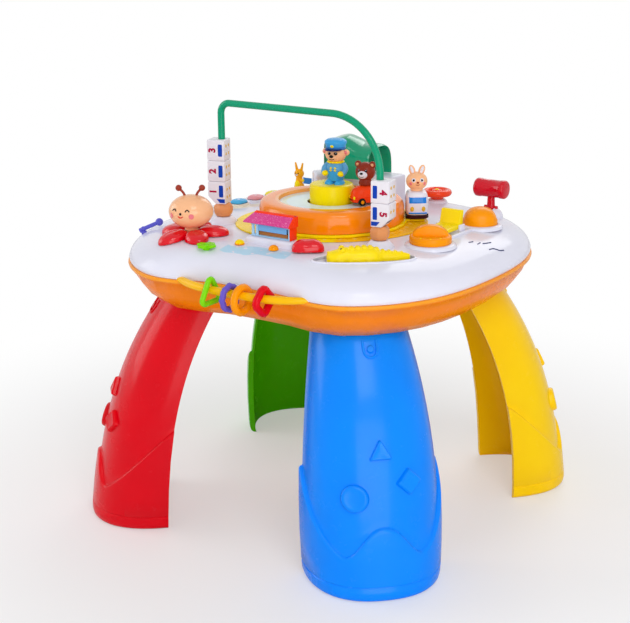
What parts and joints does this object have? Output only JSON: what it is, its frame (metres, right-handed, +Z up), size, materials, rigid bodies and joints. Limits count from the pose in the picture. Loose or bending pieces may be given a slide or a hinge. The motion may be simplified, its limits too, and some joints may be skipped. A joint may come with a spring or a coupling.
{
  "type": "musical activity table",
  "caption": "Toddler's toy table: white deck on four hollow legs, with a turning drum, train and tunnel, bead arch, animal buttons, keys, knob, mallet, wheel and a rail of rings.",
  "frame": {"origin": "on the floor under the middle of the table", "axes": "+Z up, -Y towards the side with the ring rail, +X to the right seen from there"},
  "size_m": [0.461, 0.461, 0.48],
  "materials": {
    "white_shell": "glossy white with a cool shade",
    "orange_shell": "glossy orange",
    "red": "glossy red",
    "blue": "glossy blue",
    "yellow": "glossy yellow",
    "green": "glossy green",
    "sea_green": "glossy sea green",
    "peach": "satin peach",
    "brown": "satin brown",
    "violet": "glossy violet",
    "sky_blue": "glossy sky blue",
    "pale_disc": "glossy pale blue",
    "lime": "glossy lime green",
    "bead_tan": "satin tan",
    "block_ivory": "glossy pale lilac white with printed numerals and windows",
    "train_dark": "dark maroon",
    "pink": "glossy magenta pink",
    "button_orange": "glossy orange",
    "key_blue": "glossy light blue",
    "key_pink": "glossy light pink",
    "board_green": "circuit board lacquer",
    "speaker_black": "matt black",
    "screw_steel": "plain steel"
  },
  "bodies": {
    "table": {"lower_shell": "orange_shell", "top_shell": "white_shell", "leg_red": "red", "leg_blue": "blue", "leg_yellow": "yellow", "leg_green": "green", "track_plate": "yellow", "tunnel": "sea_green", "arch_tube": "sea_green", "station_house": "sky_blue", "station_roof": "pink", "bee_petals": "red", "lamp_yellow": "yellow", "lamp_orange": "button_orange", "rail_bar": "yellow", "circuit_board": "board_green", "speaker": "speaker_black", "battery_door": "white_shell", "case_screw_1": "screw_steel", "case_screw_2": "screw_steel", "case_screw_3": "screw_steel", "case_screw_4": "screw_steel"},
    "drum": {"drum": "orange_shell", "drum_retainer": "speaker_black", "drum_disc": "pale_disc", "car": "red", "car_bear": "brown"},
    "cap": {"centre_cap": "yellow", "driver": "sky_blue"},
    "train": {"train_ring": "yellow", "train_chassis": "train_dark", "train_body": "white_shell", "rabbit": "peach"},
    "hex_bead_left": {"hex_bead_left": "bead_tan"},
    "hex_bead_right": {"hex_bead_right": "bead_tan"},
    "block_1": {"block_1": "block_ivory"},
    "block_2": {"block_2": "block_ivory"},
    "block_3": {"block_3": "block_ivory"},
    "block_4": {"block_4": "block_ivory"},
    "block_5": {"block_5": "block_ivory"},
    "clover": {"clover": "lime"},
    "steering_wheel": {"steering_wheel": "red"},
    "bee_head": {"bee_head": "peach"},
    "lever": {"lever": "violet"},
    "knob": {"knob": "button_orange"},
    "flag_figure": {"flag_figure": "yellow"},
    "bean_button": {"bean_button": "red"},
    "crocodile": {"crocodile": "yellow"},
    "dome_button": {"dome_button": "button_orange"},
    "music_key_1": {"music_key_1": "button_orange"},
    "music_key_2": {"music_key_2": "key_blue"},
    "music_key_3": {"music_key_3": "key_pink"},
    "music_key_4": {"music_key_4": "yellow"},
    "seat_rocker": {"seat_rocker": "yellow"},
    "mallet": {"mallet": "red"},
    "ring_triangle": {"ring_triangle": "lime"},
    "ring_scalloped": {"ring_scalloped": "violet"},
    "ring_round": {"ring_round": "button_orange"},
    "ring_flower": {"ring_flower": "red"}
  },
  "joints": [
    {"name": "drum_spin", "type": "hinge", "parent": "table", "child": "drum", "pos_m": [0, 0, 0.336], "axis": [0, 0, 1], "continuous": true},
    {"name": "cap_press", "type": "slide", "parent": "drum", "child": "cap", "axis": [0, 0, -1], "range_m": [0, 0.003], "stiffness_N_per_m": 400, "springref_m": -0.002},
    {"name": "train_spin", "type": "hinge", "parent": "table", "child": "train", "pos_m": [0, 0, 0.3398], "axis": [0, 0, 1], "continuous": true},
    {"name": "hex_bead_left_spin", "type": "hinge", "parent": "table", "child": "hex_bead_left", "pos_m": [-0.1075, -0.066, 0.3438], "axis": [0, 0, 1], "continuous": true},
    {"name": "hex_bead_right_spin", "type": "hinge", "parent": "table", "child": "hex_bead_right", "pos_m": [0.1075, -0.066, 0.3438], "axis": [0, 0, 1], "continuous": true},
    {"name": "block_1_spin", "type": "hinge", "parent": "table", "child": "block_1", "pos_m": [-0.1075, -0.066, 0.3596], "axis": [0, 0, 1], "range_deg": [-90, 90]},
    {"name": "block_2_spin", "type": "hinge", "parent": "table", "child": "block_2", "pos_m": [-0.1075, -0.066, 0.3859], "axis": [0, 0, 1], "range_deg": [-90, 90]},
    {"name": "block_3_spin", "type": "hinge", "parent": "table", "child": "block_3", "pos_m": [-0.1075, -0.066, 0.4102], "axis": [0, 0, 1], "range_deg": [-90, 90]},
    {"name": "block_4_spin", "type": "hinge", "parent": "table", "child": "block_4", "pos_m": [0.1075, -0.066, 0.3859], "axis": [0, 0, 1], "range_deg": [-90, 90]},
    {"name": "block_5_spin", "type": "hinge", "parent": "table", "child": "block_5", "pos_m": [0.1075, -0.066, 0.3596], "axis": [0, 0, 1], "range_deg": [-90, 90]},
    {"name": "clover_spin", "type": "hinge", "parent": "table", "child": "clover", "pos_m": [-0.0516, -0.1673, 0.336], "axis": [0, 0, 1], "continuous": true},
    {"name": "steering_wheel_spin", "type": "hinge", "parent": "table", "child": "steering_wheel", "pos_m": [0.043, 0.17, 0.347], "axis": [0, 0, 1], "continuous": true},
    {"name": "bee_head_spin", "type": "hinge", "parent": "table", "child": "bee_head", "pos_m": [-0.098, -0.136, 0.339], "axis": [0, 0, 1], "continuous": true},
    {"name": "lever_turn", "type": "hinge", "parent": "table", "child": "lever", "pos_m": [-0.183, -0.122, 0.3288], "axis": [0, 0, 1], "range_deg": [-25, 25]},
    {"name": "knob_turn", "type": "hinge", "parent": "table", "child": "knob", "pos_m": [0.15, -0.03, 0.3388], "axis": [0, 0, 1], "range_deg": [-45, 45]},
    {"name": "flag_figure_turn", "type": "hinge", "parent": "table", "child": "flag_figure", "pos_m": [-0.137, 0.128, 0.33535], "axis": [0, 0, 1], "range_deg": [-60, 60]},
    {"name": "bean_button_press", "type": "slide", "parent": "table", "child": "bean_button", "axis": [0, 0, -1], "range_m": [0, 0.0025], "stiffness_N_per_m": 400, "springref_m": -0.002},
    {"name": "crocodile_press", "type": "slide", "parent": "table", "child": "crocodile", "axis": [0, 0, -1], "range_m": [0, 0.0025], "stiffness_N_per_m": 400, "springref_m": -0.002},
    {"name": "dome_button_press", "type": "slide", "parent": "table", "child": "dome_button", "axis": [0, 0, -1], "range_m": [0, 0.0025], "stiffness_N_per_m": 400, "springref_m": -0.002},
    {"name": "music_key_1_press", "type": "slide", "parent": "table", "child": "music_key_1", "axis": [0, 0, -1], "range_m": [0, 0.0025], "stiffness_N_per_m": 400, "springref_m": -0.002},
    {"name": "music_key_2_press", "type": "slide", "parent": "table", "child": "music_key_2", "axis": [0, 0, -1], "range_m": [0, 0.0025], "stiffness_N_per_m": 400, "springref_m": -0.002},
    {"name": "music_key_3_press", "type": "slide", "parent": "table", "child": "music_key_3", "axis": [0, 0, -1], "range_m": [0, 0.0025], "stiffness_N_per_m": 400, "springref_m": -0.002},
    {"name": "music_key_4_press", "type": "slide", "parent": "table", "child": "music_key_4", "axis": [0, 0, -1], "range_m": [0, 0.0025], "stiffness_N_per_m": 400, "springref_m": -0.002},
    {"name": "seat_rocker_tip", "type": "hinge", "parent": "table", "child": "seat_rocker", "pos_m": [0.135, 0.04, 0.3414], "axis": [1, 0, 0], "range_deg": [-4.5, 4.5], "stiffness_Nm_per_rad": 0.05},
    {"name": "mallet_swing", "type": "hinge", "parent": "table", "child": "mallet", "pos_m": [0.131, 0.146, 0.34282], "axis": [1, 0, 0], "range_deg": [0, 70]},
    {"name": "ring_triangle_swing", "type": "hinge", "parent": "table", "child": "ring_triangle", "pos_m": [-0.012, -0.21086, 0.303], "axis": [1, 0, 0], "range_deg": [-40, 40]},
    {"name": "ring_scalloped_swing", "type": "hinge", "parent": "table", "child": "ring_scalloped", "pos_m": [0.014, -0.21149, 0.303], "axis": [1, 0, 0], "range_deg": [-40, 40]},
    {"name": "ring_round_swing", "type": "hinge", "parent": "table", "child": "ring_round", "pos_m": [0.03, -0.21125, 0.303], "axis": [1, 0, 0], "range_deg": [-40, 40]},
    {"name": "ring_flower_swing", "type": "hinge", "parent": "table", "child": "ring_flower", "pos_m": [0.056, -0.20851, 0.303], "axis": [1, 0, 0], "range_deg": [-40, 40]}
  ]
}
